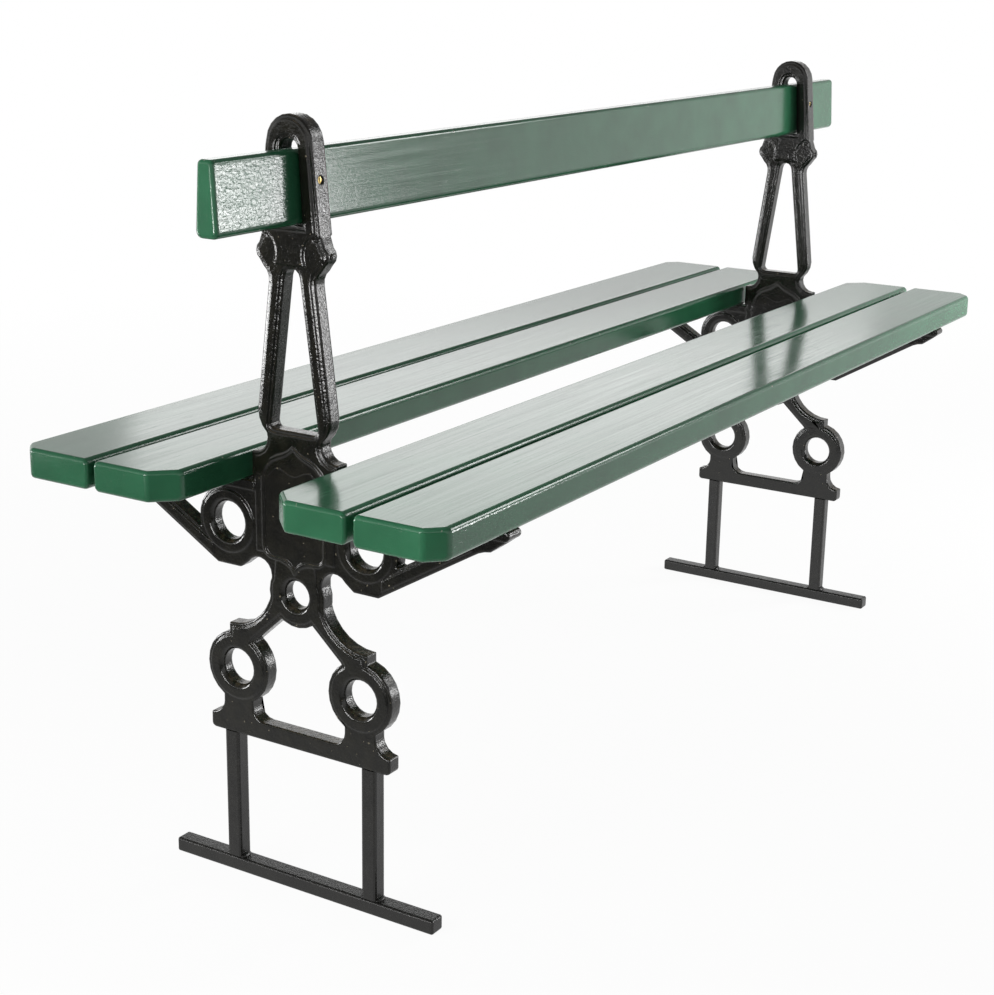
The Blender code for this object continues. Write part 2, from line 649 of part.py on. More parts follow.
def make_seat_plank(inner):
    """Seat plank on the +Y side, with two corners clipped at its free edge."""
    end = PLANK_LENGTH / 2.0
    clip = INNER_CLIP if inner else OUTER_CLIP
    near = SEAT_PLANK_START if inner else SEAT_PLANK_START + SEAT_PLANK_WIDTH + SEAT_PLANK_GAP
    far = near + SEAT_PLANK_WIDTH
    plan = [(-end, near), (end, near), (end, far - clip)]
    plan += [(end - clip, far), (clip - end, far), (-end, far - clip)]
    if inner:
        plan = [(x, near + far - y) for x, y in plan]
    plank = rounded_plank(plan, SEAT_PLANK_THICKNESS)
    screw_y = SEAT_SCREW_INNER_Y if inner else SEAT_SCREW_OUTER_Y
    hole = [(SEAT_SCREW_RADIUS, -SEAT_SCREW_BITE), (SEAT_SCREW_RADIUS, SEAT_SCREW_BITE)]
    ends = (-CASTING_SPACING / 2.0, CASTING_SPACING / 2.0)
    combine(plank, [screw_hole(hole, Matrix.Translation((x, screw_y, 0))) for x in ends], "DIFFERENCE")
    tidy(plank)
    shade(plank)
    return plank


def twin(body):
    """A separate copy of a piece."""
    copy = body.copy()
    copy.data = body.data.copy()
    bpy.context.collection.objects.link(copy)
    return copy


def mirrored_copy(body):
    """A copy of a piece for the other side of the bench."""
    bm = bmesh.new()
    bm.from_mesh(body.data)
    bmesh.ops.scale(bm, vec=(1, -1, 1), verts=bm.verts[:])
    bmesh.ops.reverse_faces(bm, faces=bm.faces[:])
    copy = new_object("copy", bm)
    shade(copy)
    return copy


def make_back_plank():
    """Tapered back plank with rounded long edges and pilot holes for its screws."""
    bm = bmesh.new()
    end = PLANK_LENGTH / 2.0
    section = [(-BACK_PLANK_HALF_FOOT, 0.0), (BACK_PLANK_HALF_FOOT, 0.0),
               (BACK_PLANK_HALF_HEAD, BACK_PLANK_HEIGHT), (-BACK_PLANK_HALF_HEAD, BACK_PLANK_HEIGHT)]
    start = bm.faces.new([bm.verts.new((0.0, y, z)) for y, z in section])
    extruded(bm, [start], end)
    whole = bm.verts[:] + bm.edges[:] + bm.faces[:]
    bmesh.ops.mirror(bm, geom=whole, matrix=Matrix(), merge_dist=MERGE_DISTANCE, axis="X")
    bmesh.ops.recalc_face_normals(bm, faces=bm.faces[:])
    bmesh.ops.dissolve_limit(bm, angle_limit=math.radians(FLAT_ANGLE), verts=bm.verts[:], edges=bm.edges[:])
    for at_foot, radius in ((True, BACK_FOOT_EDGE_RADIUS), (False, BACK_HEAD_EDGE_RADIUS)):
        sides = [e for e in bm.edges if e.calc_length() > end
                 and (e.verts[0].co.z < FIT_GAP) == at_foot and e.calc_face_angle() > math.radians(SMOOTH_ANGLE)]
        bmesh.ops.bevel(bm, geom=sides, offset=radius, affect="EDGES", segments=3, profile=0.5)
    rims = [e for e in bm.edges if abs(abs(e.verts[0].co.x) - end) < ARC_TOLERANCE
            and abs(e.verts[0].co.x - e.verts[1].co.x) < ARC_TOLERANCE]
    bmesh.ops.bevel(bm, geom=rims, offset=SEAT_END_RADIUS / 2.0, affect="EDGES", segments=1, profile=0.5)
    plank = new_object("back", bm)
    holes = []
    for x in (-CASTING_SPACING / 2.0, CASTING_SPACING / 2.0):
        for side in (-1, 1):
            place = Matrix.Translation((x, 0, -BACK_SEAT_Z)) @ back_screw_place(side)
            holes.append(screw_hole(back_screw_profile(), place))
    combine(plank, holes, "DIFFERENCE")
    tidy(plank)
    shade(plank)
    return plank


def seat_screw(seat):
    """Round-headed wood screw that stands up from the shelf into a plank, slightly dished below."""
    reach = SHELF_Z - seat + SEAT_SCREW_BITE - 2.0 * FIT_GAP
    rim = SEAT_SCREW_HEAD_RADIUS
    head = [(rim / 2.0, -SEAT_SCREW_HEAD_HEIGHT), (rim, -SEAT_SCREW_HEAD_HEIGHT / 2.0), (rim, -2.0 * FIT_GAP)]
    shank = [(SEAT_SCREW_RADIUS, -FIT_GAP), (SEAT_SCREW_RADIUS, reach - SCREW_POINT)]
    profile = head + shank + [(SEAT_SCREW_RADIUS / 4.0, reach)]
    screw = turned(profile, Matrix())
    shade(screw)
    return screw


def clear_scene():
    """Remove what a new file starts with."""
    for thing in list(bpy.data.objects):
        bpy.data.objects.remove(thing)


def main():
    """Make every piece once and put its copies in place."""
    clear_scene()
    iron = finish("black_gloss_paint_on_cast_iron", (0.012, 0.012, 0.011), 0.25, 0.0)
    steel = finish("black_gloss_paint_on_steel", (0.014, 0.014, 0.013), 0.30, 0.0)
    green = finish("green_gloss_paint_on_wood", (0.024, 0.125, 0.062), 0.22, 0.0)
    zinc = finish("zinc_plated_screw", (0.50, 0.49, 0.46), 0.35, 1.0)
    brass = finish("brass_screw", (0.52, 0.38, 0.16), 0.35, 1.0)

    bench = bpy.data.objects.new("park_bench", None)
    bpy.context.collection.objects.link(bench)
    ends = {"left": -CASTING_SPACING / 2.0, "right": CASTING_SPACING / 2.0}
    sides = {"front": -1, "rear": 1}

    def add(body, name, material, location):
        dress(body, name, material, location).parent = bench

    pattern = make_casting()
    castings = {"left": pattern, "right": twin(pattern)}
    for end, x in ends.items():
        add(castings[end], f"{end}_casting", iron, (x, 0, CASTING_Z))
        ground_bar = bar((GROUND_BAR_WIDTH, GROUND_BAR_LENGTH, GROUND_BAR_HEIGHT), BAR_EDGE_RADIUS)
        shade(ground_bar)
        add(ground_bar, f"{end}_ground_bar", steel, (x, 0, GROUND_BAR_HEIGHT / 2.0))
        for side, sign in sides.items():
            add(make_leg(), f"{end}_{side}_leg", steel, (x, sign * LEG_CENTRE, GROUND_BAR_HEIGHT))
            for row, y, seat in seat_screw_places():
                add(seat_screw(seat), f"{end}_{side}_{row}_screw", zinc, (x, sign * y, CASTING_Z + seat))
            back_screw = turned(back_screw_profile(), back_screw_place(sign))
            shade(back_screw)
            add(back_screw, f"{end}_{side}_back_screw", brass, (x, 0, CASTING_Z))

    for row in ("inner", "outer"):
        rear = make_seat_plank(row == "inner")
        front = mirrored_copy(rear)
        add(rear, f"rear_{row}_plank", green, (0, 0, SEAT_REST_Z + FIT_GAP))
        add(front, f"front_{row}_plank", green, (0, 0, SEAT_REST_Z + FIT_GAP))
    add(make_back_plank(), "back_plank", green, (0, 0, CASTING_Z + BACK_SEAT_Z))


main()
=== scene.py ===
# %% [markdown]
# # A double-sided park bench
# The bench has two cast-iron end frames on steel feet. Four thick planks make the seats, two on each side,
# and one tapered plank, held in a loop on each frame, is the back for both.
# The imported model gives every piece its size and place, so nothing has to be fitted by eye here.

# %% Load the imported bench
import math

import bmesh
import bpy
from mathutils import Matrix, Vector, noise


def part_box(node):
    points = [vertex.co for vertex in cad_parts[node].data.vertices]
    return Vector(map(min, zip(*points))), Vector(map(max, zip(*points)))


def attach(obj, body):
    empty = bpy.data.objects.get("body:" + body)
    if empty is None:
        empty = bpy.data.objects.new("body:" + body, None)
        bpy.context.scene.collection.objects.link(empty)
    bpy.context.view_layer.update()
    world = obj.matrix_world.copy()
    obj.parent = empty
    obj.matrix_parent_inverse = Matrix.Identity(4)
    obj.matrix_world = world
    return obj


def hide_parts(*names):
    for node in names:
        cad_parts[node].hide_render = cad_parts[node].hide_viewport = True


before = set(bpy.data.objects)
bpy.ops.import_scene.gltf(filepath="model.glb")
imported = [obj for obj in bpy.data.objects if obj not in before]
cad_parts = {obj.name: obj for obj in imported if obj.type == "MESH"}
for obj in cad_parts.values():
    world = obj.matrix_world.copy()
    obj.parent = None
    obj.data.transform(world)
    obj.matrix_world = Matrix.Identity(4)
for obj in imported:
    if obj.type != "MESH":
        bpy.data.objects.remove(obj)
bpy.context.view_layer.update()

# %% [markdown]
# ## Tools for the materials
# Colours are read off as sRGB hex values, while shaders count in linear light, so one function turns
# one into the other. A second one adds a node, sets it and links it, which keeps each material short
# enough to read from top to bottom.


# %% Colour and node helpers
def linear(hex_colour):
    """Linear RGBA of an sRGB hex colour such as #2E6E4C."""
    channels = [int(hex_colour[i:i + 2], 16) / 255 for i in (1, 3, 5)]
    return [c / 12.92 if c <= 0.04045 else ((c + 0.055) / 1.055) ** 2.4 for c in channels] + [1.0]


def add_node(tree, kind, inputs, stops=(), **settings):
    """Add a node, set its properties, then fill or link its inputs by name."""
    node = tree.nodes.new(kind)
    for name, value in settings.items():
        setattr(node, name, value)
    for name, value in inputs.items():
        if isinstance(value, bpy.types.NodeSocket):
            tree.links.new(value, node.inputs[name])
        else:
            node.inputs[name].default_value = value
    for index, (position, colour) in enumerate(stops):
        ramp = node.color_ramp.elements
        stop = ramp[index] if index < len(ramp) else ramp.new(position)
        stop.position = position
        stop.color = linear(colour)
    return node


def new_material(name):
    """An empty material with its tree, its shader and the object's own coordinates."""
    material = bpy.data.materials.new(name)
    material.use_nodes = True
    tree = material.node_tree
    shader = tree.nodes["Principled BSDF"]
    place = add_node(tree, "ShaderNodeTexCoord", {})
    return material, tree, shader, place


def wire_shader(tree, shader, sockets):
    """Link finished sockets to the shader's inputs by name."""
    for name, socket in sockets.items():
        tree.links.new(socket, shader.inputs[name])


MM = 0.001
PAINT_IOR = 1.5


def per_mm(size):
    """Noise scale that gives blotches of about a size in millimetres."""
    return 1 / (size * MM)


print("a 3 mm pattern has a scale of", round(per_mm(3)))

# %% [markdown]
# ## Gloss black paint on cast iron
# Sand casting leaves a pitted skin, and thick gloss paint fills the finest pits and rounds the rest.
# Two fine noises make pits and grit, which are drawn about twice as coarse as real sand so that they show
# at this distance. A wide one makes the slow waves that let long reflections wobble. The flat faces were
# rubbed down before painting and the narrow walls were not, so the walls are duller and grittier. At rims
# and inner corners the paint has gathered, and a Bevel node softens the normals there. Where a face looks
# up, dust and a little rust have settled, so brown is mixed in, and here and there a fleck of paint is gone.

# %% Black paint on iron: patterns and colour
PIT_SIZE = 4.2
GRIT_SIZE = 1.8
WAVE_SIZE = 20
DUST_SIZE = 7
FLECK_SIZE = 5

iron, tree, shader, place = new_material("gloss_black_paint_on_sand_cast_iron")
where = place.outputs["Object"]
pits = add_node(tree, "ShaderNodeTexNoise", {"Vector": where, "Scale": per_mm(PIT_SIZE), "Detail": 1.0})
grit = add_node(tree, "ShaderNodeTexNoise", {"Vector": where, "Scale": per_mm(GRIT_SIZE), "Detail": 1.0})
waves = add_node(tree, "ShaderNodeTexNoise", {"Vector": where, "Scale": per_mm(WAVE_SIZE), "Detail": 2.0})
dust = add_node(tree, "ShaderNodeTexNoise", {"Vector": where, "Scale": per_mm(DUST_SIZE), "Detail": 4.0})
axes = add_node(tree, "ShaderNodeSeparateXYZ", {"Vector": place.outputs["Normal"]})
upward = add_node(tree, "ShaderNodeMapRange", {
    "Value": axes.outputs["Z"], "From Min": 0.5, "From Max": 0.95})
patchy = add_node(tree, "ShaderNodeMapRange", {
    "Value": dust.outputs["Fac"], "From Min": 0.38, "From Max": 0.62, "To Max": upward.outputs["Result"]})
tone = add_node(tree, "ShaderNodeValToRGB", {"Fac": waves.outputs["Fac"]},
                stops=[(0.35, "#11110D"), (0.65, "#1B1A14")])
dusty = add_node(tree, "ShaderNodeMixRGB", {
    "Fac": patchy.outputs["Result"], "Color1": tone.outputs["Color"], "Color2": linear("#4B4334")})
flecks = add_node(tree, "ShaderNodeTexNoise", {"Vector": where, "Scale": per_mm(FLECK_SIZE), "Detail": 0.0})
bare = add_node(tree, "ShaderNodeMapRange", {
    "Value": flecks.outputs["Fac"], "From Min": 0.83, "From Max": 0.87, "To Max": 0.6})
colour = add_node(tree, "ShaderNodeMixRGB", {
    "Fac": bare.outputs["Result"], "Color1": dusty.outputs["Color"], "Color2": linear("#8E8572")})
print("pits", PIT_SIZE, "mm, grit", GRIT_SIZE, "mm, waves", WAVE_SIZE, "mm")

# %% Black paint on iron: gloss and bumps
SOFT_RADIUS = 4.2 * MM

wall = add_node(tree, "ShaderNodeMath", {0: axes.outputs["X"]}, operation="ABSOLUTE")
dull = add_node(tree, "ShaderNodeMapRange", {
    "Value": wall.outputs["Value"], "From Min": 0.3, "From Max": 0.8, "To Min": 0.28, "To Max": 0.16})
gloss = add_node(tree, "ShaderNodeMapRange", {
    "Value": pits.outputs["Fac"], "From Min": 0.3, "From Max": 0.7,
    "To Min": 0.10, "To Max": dull.outputs["Result"]})
soft = add_node(tree, "ShaderNodeBevel", {"Radius": SOFT_RADIUS}, samples=8)
wavy = add_node(tree, "ShaderNodeBump", {
    "Height": waves.outputs["Fac"], "Strength": 0.26, "Distance": 2.0 * MM,
    "Normal": soft.outputs["Normal"]})
pitted = add_node(tree, "ShaderNodeBump", {
    "Height": pits.outputs["Fac"], "Strength": 0.26, "Distance": 1.0 * MM,
    "Normal": wavy.outputs["Normal"]})
rough = add_node(tree, "ShaderNodeMapRange", {
    "Value": wall.outputs["Value"], "From Min": 0.3, "From Max": 0.8, "To Min": 0.46, "To Max": 0.12})
sandy = add_node(tree, "ShaderNodeBump", {
    "Height": grit.outputs["Fac"], "Strength": rough.outputs["Result"], "Distance": 0.8 * MM,
    "Normal": pitted.outputs["Normal"]})
wire_shader(tree, shader, {"Base Color": colour.outputs["Color"], "Roughness": gloss.outputs["Result"],
                           "Normal": sandy.outputs["Normal"]})
shader.inputs["IOR"].default_value = PAINT_IOR
print("made", iron.name)

# %% [markdown]
# ## Dull black paint on steel bar
# The feet are rolled bar that has lain in the ground, so their paint is duller than the casting's and the
# skin below it is scaly. A fine noise makes the scale, and a wide one makes the waves of the bar.

# %% Black paint on steel
SCALE_SIZE = 3.0
BAR_WAVE_SIZE = 30

steel, tree, shader, place = new_material("dull_black_paint_on_rolled_steel_bar")
where = place.outputs["Object"]
skin = add_node(tree, "ShaderNodeTexNoise", {"Vector": where, "Scale": per_mm(SCALE_SIZE), "Detail": 4.0})
waves = add_node(tree, "ShaderNodeTexNoise", {
    "Vector": where, "Scale": per_mm(BAR_WAVE_SIZE), "Detail": 2.0})
axes = add_node(tree, "ShaderNodeSeparateXYZ", {"Vector": place.outputs["Normal"]})
upward = add_node(tree, "ShaderNodeMapRange", {
    "Value": axes.outputs["Z"], "From Min": 0.3, "From Max": 0.9, "To Min": 0.25, "To Max": 0.9})
tone = add_node(tree, "ShaderNodeValToRGB", {"Fac": waves.outputs["Fac"]},
                stops=[(0.35, "#11100E"), (0.65, "#1A1916")])
gloss = add_node(tree, "ShaderNodeMapRange", {
    "Value": skin.outputs["Fac"], "From Min": 0.3, "From Max": 0.7, "To Min": 0.20, "To Max": 0.40})
wavy = add_node(tree, "ShaderNodeBump", {
    "Height": waves.outputs["Fac"], "Strength": 0.4, "Distance": 2.0 * MM})
scaly = add_node(tree, "ShaderNodeBump", {
    "Height": skin.outputs["Fac"], "Strength": upward.outputs["Result"], "Distance": 1.2 * MM,
    "Normal": wavy.outputs["Normal"]})
wire_shader(tree, shader, {"Base Color": tone.outputs["Color"], "Roughness": gloss.outputs["Result"],
                           "Normal": scaly.outputs["Normal"]})
shader.inputs["IOR"].default_value = PAINT_IOR
print("made", steel.name)

# %% [markdown]
# ## Green gloss enamel on planed wood
# The planks are brush-painted along their length, so brush lines and open grain run along X. On the upright
# sides the paint has sagged and dried into a wrinkled skin, most of all near the ends, where the end grain
# drinks the paint. The object's own normal tells the sides from the tops, so one material serves every
# plank. The rear planks are darker by a slow change along Y: painted shade for the rear side, which gets
# less light. The same normal finds the rounded edges, where knocks have taken a few chips out of the paint.

# %% Green enamel: patterns
BRUSH_LENGTH = 260
BRUSH_WIDTH = 2.6
GRAIN_LENGTH = 90
GRAIN_WIDTH = 1.6
SKIN_SIZE = 4.0
SKIN_SLANT = 28
SKIN_STRETCH = 0.45
BLOT_SIZE = 70

green, tree, shader, place = new_material("green_gloss_enamel_brushed_on_planed_wood")
where = place.outputs["Object"]
strokes = add_node(tree, "ShaderNodeMapping", {
    "Vector": where, "Scale": (per_mm(BRUSH_LENGTH), per_mm(BRUSH_WIDTH), per_mm(BRUSH_WIDTH))})
brush = add_node(tree, "ShaderNodeTexNoise", {
    "Vector": strokes.outputs["Vector"], "Scale": 1.0, "Detail": 3.0})
fibres = add_node(tree, "ShaderNodeMapping", {
    "Vector": where, "Scale": (per_mm(GRAIN_LENGTH), per_mm(GRAIN_WIDTH), per_mm(GRAIN_WIDTH))})
grain = add_node(tree, "ShaderNodeTexNoise", {
    "Vector": fibres.outputs["Vector"], "Scale": 1.0, "Detail": 2.0})
cracks = add_node(tree, "ShaderNodeMapRange", {
    "Value": grain.outputs["Fac"], "From Min": 0.70, "From Max": 0.78, "To Min": 1.0, "To Max": 0.0})
skew = add_node(tree, "ShaderNodeMapping", {
    "Vector": where, "Rotation": (0.0, math.radians(SKIN_SLANT), 0.0), "Scale": (SKIN_STRETCH, 1.0, 1.0)})
skin = add_node(tree, "ShaderNodeTexNoise", {
    "Vector": skew.outputs["Vector"], "Scale": per_mm(SKIN_SIZE), "Detail": 4.0, "Distortion": 0.6})
blots = add_node(tree, "ShaderNodeTexNoise", {"Vector": where, "Scale": per_mm(BLOT_SIZE), "Detail": 2.0})
print("brush lines", BRUSH_WIDTH, "mm, grain", GRAIN_WIDTH, "mm, wrinkles", SKIN_SIZE, "mm")

# %% Green enamel: sides, ends and edges
WRINKLE_START = 0.78
WRINKLE_FULL = 0.95

axes = add_node(tree, "ShaderNodeSeparateXYZ", {"Vector": place.outputs["Normal"]})
spot = add_node(tree, "ShaderNodeSeparateXYZ", {"Vector": where})
along = add_node(tree, "ShaderNodeMath", {0: spot.outputs["X"]}, operation="ABSOLUTE")
near_end = add_node(tree, "ShaderNodeMapRange", {
    "Value": along.outputs["Value"], "From Min": WRINKLE_START, "From Max": WRINKLE_FULL,
    "To Min": 0.12, "To Max": 0.42})
across = add_node(tree, "ShaderNodeMath", {0: axes.outputs["Y"]}, operation="ABSOLUTE")
end_face = add_node(tree, "ShaderNodeMath", {0: axes.outputs["X"]}, operation="ABSOLUTE")
end_grain = add_node(tree, "ShaderNodeMapRange", {
    "Value": end_face.outputs["Value"], "From Min": 0.8, "From Max": 0.98, "To Min": 0.03, "To Max": 0.10})
side = add_node(tree, "ShaderNodeMapRange", {
    "Value": across.outputs["Value"], "From Min": 0.75, "From Max": 0.98,
    "To Min": end_grain.outputs["Result"], "To Max": near_end.outputs["Result"]})
steep = add_node(tree, "ShaderNodeMath", {0: axes.outputs["Z"]}, operation="ABSOLUTE")
off_side = add_node(tree, "ShaderNodeMapRange", {
    "Value": steep.outputs["Value"], "From Min": 0.15, "From Max": 0.45})
arris = add_node(tree, "ShaderNodeMapRange", {
    "Value": steep.outputs["Value"], "From Min": 0.80, "From Max": 0.97,
    "To Min": off_side.outputs["Result"], "To Max": 0.0})
print("wrinkles grow from", WRINKLE_START, "to", WRINKLE_FULL, "m along the bench")

# %% Green enamel: colour
REAR_SHADE_SPAN = 0.20
REAR_SHADE_SHARE = 0.70
CHIP_SIZE = 9

tone = add_node(tree, "ShaderNodeValToRGB", {"Fac": blots.outputs["Fac"]},
                stops=[(0.30, "#2A6244"), (0.70, "#316F4E")])
# Painted shade: the colour is multiplied down towards the rear (+Y) planks, for the light that falls off
# there.
rear_shade_and_floor_fade = add_node(tree, "ShaderNodeMapRange", {
    "Value": spot.outputs["Y"], "From Min": -REAR_SHADE_SPAN, "From Max": REAR_SHADE_SPAN,
    "To Min": 1.0, "To Max": REAR_SHADE_SHARE})
paint = add_node(tree, "ShaderNodeMixRGB", {
    "Fac": 1.0, "Color1": tone.outputs["Color"], "Color2": rear_shade_and_floor_fade.outputs["Result"]}, blend_type="MULTIPLY")
knocks = add_node(tree, "ShaderNodeTexNoise", {"Vector": where, "Scale": per_mm(CHIP_SIZE), "Detail": 3.0})
chips = add_node(tree, "ShaderNodeMapRange", {
    "Value": knocks.outputs["Fac"], "From Min": 0.70, "From Max": 0.73, "To Max": arris.outputs["Result"]})
colour = add_node(tree, "ShaderNodeMixRGB", {
    "Fac": chips.outputs["Result"], "Color1": paint.outputs["Color"], "Color2": linear("#87907E")})
print("chips", CHIP_SIZE, "mm, the shaded side has", REAR_SHADE_SHARE, "of the colour")

# %% Green enamel: gloss and bumps
gloss = add_node(tree, "ShaderNodeMapRange", {
    "Value": brush.outputs["Fac"], "From Min": 0.3, "From Max": 0.7, "To Min": 0.12, "To Max": 0.22})
lines = add_node(tree, "ShaderNodeBump", {
    "Height": brush.outputs["Fac"], "Strength": 0.14, "Distance": 0.25 * MM})
grained = add_node(tree, "ShaderNodeBump", {
    "Height": cracks.outputs["Result"], "Strength": 0.24, "Distance": 0.25 * MM,
    "Normal": lines.outputs["Normal"]})
sagged = add_node(tree, "ShaderNodeBump", {
    "Height": skin.outputs["Fac"], "Strength": side.outputs["Result"], "Distance": 1.3 * MM,
    "Normal": grained.outputs["Normal"]})
wire_shader(tree, shader, {"Base Color": colour.outputs["Color"], "Roughness": gloss.outputs["Result"],
                           "Normal": sagged.outputs["Normal"]})
shader.inputs["IOR"].default_value = PAINT_IOR
print("made", green.name)

# %% [markdown]
# ## Brass and zinc
# The screws are turned metal that has stood outside: brass in the loops, zinc-plated steel under the
# seat. Weather dulls turned metal unevenly, so colour and roughness both follow a noise.

# %% Screw metals
TARNISH_SIZE = 2
METAL_TONES = {"weathered_turned_brass": ("#8A7440", "#C9B27A"),
               "zinc_plated_turned_steel": ("#8F8E8A", "#BDBCB6")}
screw_metals = {}
for name, (low, high) in METAL_TONES.items():
    metal, tree, shader, place = new_material(name)
    dull = add_node(tree, "ShaderNodeTexNoise", {
        "Vector": place.outputs["Object"], "Scale": per_mm(TARNISH_SIZE), "Detail": 3.0})
    tone = add_node(tree, "ShaderNodeValToRGB", {"Fac": dull.outputs["Fac"]},
                    stops=[(0.3, low), (0.7, high)])
    gloss = add_node(tree, "ShaderNodeMapRange", {
        "Value": dull.outputs["Fac"], "From Min": 0.3, "From Max": 0.7, "To Min": 0.45, "To Max": 0.28})
    worn = add_node(tree, "ShaderNodeBump", {
        "Height": dull.outputs["Fac"], "Strength": 0.3, "Distance": 0.2 * MM})
    wire_shader(tree, shader, {"Base Color": tone.outputs["Color"], "Roughness": gloss.outputs["Result"],
                               "Normal": worn.outputs["Normal"]})
    shader.inputs["Metallic"].default_value = 1.0
    screw_metals[name] = metal
brass = screw_metals["weathered_turned_brass"]
zinc = screw_metals["zinc_plated_turned_steel"]
print("made", brass.name, "and", zinc.name)

# %% [markdown]
# ## A common finish for every piece
# Each piece below ends in the same way: normals made to point outwards, smooth shading with the real
# edges kept, flat faces kept flat by weighted normals, a material, and a place on the bench's one body.

# %% Finish a piece
SHARP_ANGLE = 40


def finish_piece(name, bm, material, node=None):
    """Turn a bmesh into a shaded piece on the bench, which may stand for a CAD node."""
    bmesh.ops.recalc_face_normals(bm, faces=bm.faces[:])
    mesh = bpy.data.meshes.new(name)
    bm.to_mesh(mesh)
    bm.free()
    mesh.materials.append(material)
    mesh.shade_smooth()
    mesh.set_sharp_from_angle(angle=math.radians(SHARP_ANGLE))
    piece = bpy.data.objects.new(name, mesh)
    bpy.context.collection.objects.link(piece)
    flat = piece.modifiers.new("flat faces stay flat", "WEIGHTED_NORMAL")
    flat.keep_sharp = True
    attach(piece, "root")
    if node:
        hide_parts(node)
    return piece


def sharp_edges(bm, angle):
    """Edges between faces that meet at more than an angle in degrees."""
    return [e for e in bm.edges if len(e.link_faces) == 2 and e.calc_face_angle() > math.radians(angle)]


def round_edges(bm, edges, radius, segments):
    """Round edges by a radius."""
    bmesh.ops.bevel(bm, geom=edges, offset=radius, affect="EDGES", segments=segments, profile=0.5,
                    material=-1, clamp_overlap=False)


print("edges over", SHARP_ANGLE, "degrees stay sharp")

# %% [markdown]
# ## End castings
# The CAD solid already has every plate, ring and opening, but its edges are knife-sharp. Iron and thick
# paint are not. A copy of its mesh is merged and its flat faces are joined, then every outward edge gets
# a weight that says how far it may be rounded: much on the uprights, which hands have worn, less on the
# rings, and least on the low rims, whose walls are only two or three millimetres high. A bevel by weight
# does the rest, and its rounds draw the bright double lines along the rims.

# %% Rounded castings
HAND_ROUND = 3.4 * MM
RING_ROUND = 2.4 * MM
RIM_ROUND = 1.6 * MM
HAND_HEIGHT = 0.72
WALL_DEPTH = 15 * MM
WALL_SHARE = 0.42
RIM_SHARE = 0.42
MERGE = 0.01 * MM
FLAT_ANGLE = 1
CAST_ANGLE = 35
TURN_ANGLE = 30


def room_beside(edge):
    """Length of the shortest edge that turns away from an end of this edge."""
    way = (edge.verts[1].co - edge.verts[0].co).normalized()
    room = 1.0
    for vert in edge.verts:
        for other in vert.link_edges:
            turn = (other.verts[1].co - other.verts[0].co).normalized()
            if other is not edge and abs(turn.dot(way)) < math.cos(math.radians(TURN_ANGLE)):
                room = min(room, other.calc_length())
    return room


def edge_radius(edge):
    """How far an edge of the casting may be rounded."""
    depths = [max(v.co.x for v in f.verts) - min(v.co.x for v in f.verts) for f in edge.link_faces]
    if max(depths) < WALL_DEPTH:
        return min(RIM_ROUND, RIM_SHARE * room_beside(edge))
    wanted = HAND_ROUND if edge.verts[0].co.z > HAND_HEIGHT else RING_ROUND
    return min(wanted, WALL_SHARE * room_beside(edge))


for end in ("left", "right"):
    bm = bmesh.new()
    bm.from_mesh(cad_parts[f"{end}_casting"].data)
    bmesh.ops.remove_doubles(bm, verts=bm.verts[:], dist=MERGE)
    bmesh.ops.dissolve_limit(bm, angle_limit=math.radians(FLAT_ANGLE), verts=bm.verts[:], edges=bm.edges[:])
    weight = bm.edges.layers.float.new("bevel_weight_edge")
    outer_edges = [e for e in sharp_edges(bm, CAST_ANGLE) if e.is_convex]
    for edge in outer_edges:
        edge[weight] = edge_radius(edge) / HAND_ROUND
    casting = finish_piece(f"{end}_end_frame", bm, iron, f"{end}_casting")
    bevel = casting.modifiers.new("rounded edges", "BEVEL")
    bevel.limit_method = "WEIGHT"
    bevel.width = HAND_ROUND
    bevel.segments = 3
    bevel.use_clamp_overlap = False
    casting.modifiers.move(1, 0)
    print(casting.name, "rounded edges:", len(outer_edges))

# %% [markdown]
# ## Lug buttons
# On the outer end of each lug sits a small round button, cast with the frame. A short cone with a
# rounded rim, half sunk into the lug, is enough.

# %% Lug buttons
BUTTON_RADIUS = 5.2 * MM
BUTTON_PROUD = 1.8 * MM
BUTTON_DEPTH = 5.0 * MM
BUTTON_TAPER = 0.9
BUTTON_EDGE = 0.2
SQUARE_ANGLE = 60
LUG_HEIGHT = 0.9785
LUG_END = 0.063
SIDES = {"front": -1, "rear": 1}
ENDS = {"left": -1, "right": 1}
frame_x = (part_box("right_casting")[0][0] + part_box("right_casting")[1][0]) / 2

for end, end_sign in ENDS.items():
    for side, side_sign in SIDES.items():
        bm = bmesh.new()
        middle = side_sign * (LUG_END + BUTTON_PROUD - BUTTON_DEPTH / 2)
        turn = Matrix.Rotation(math.radians(-90 * side_sign), 4, "X")
        spot = Matrix.Translation((end_sign * frame_x, middle, LUG_HEIGHT)) @ turn
        bmesh.ops.create_cone(bm, cap_ends=True, segments=28, radius1=BUTTON_RADIUS,
                              radius2=BUTTON_TAPER * BUTTON_RADIUS, depth=BUTTON_DEPTH, matrix=spot)
        round_edges(bm, sharp_edges(bm, SQUARE_ANGLE), BUTTON_EDGE * BUTTON_RADIUS, 3)
        button = finish_piece(f"{end}_{side}_lug_button", bm, iron)
        print(button.name, "faces:", len(button.data.polygons))

# %% [markdown]
# ## Raised line on the shield
# Below the cusps of the shield a second, fainter line repeats their swing. It is a narrow strip: a grid
# whose points are lifted along a curve, extruded off the shield's floor and rounded.

# %% Shield lines
LINE_WIDTH = 2.6 * MM
LINE_PROUD = 1.0 * MM
LINE_SUNK = 0.5 * MM
LINE_EDGE = 0.7
LINE_HALF = 47 * MM
LINE_PEAK = (29 * MM, 0.668)
LINE_DIP = 0.659
LINE_END = 0.655
SHIELD_FLOOR = 14.5 * MM


def swing(share):
    """Soft step from 0 to 1."""
    return (1 - math.cos(math.pi * share)) / 2


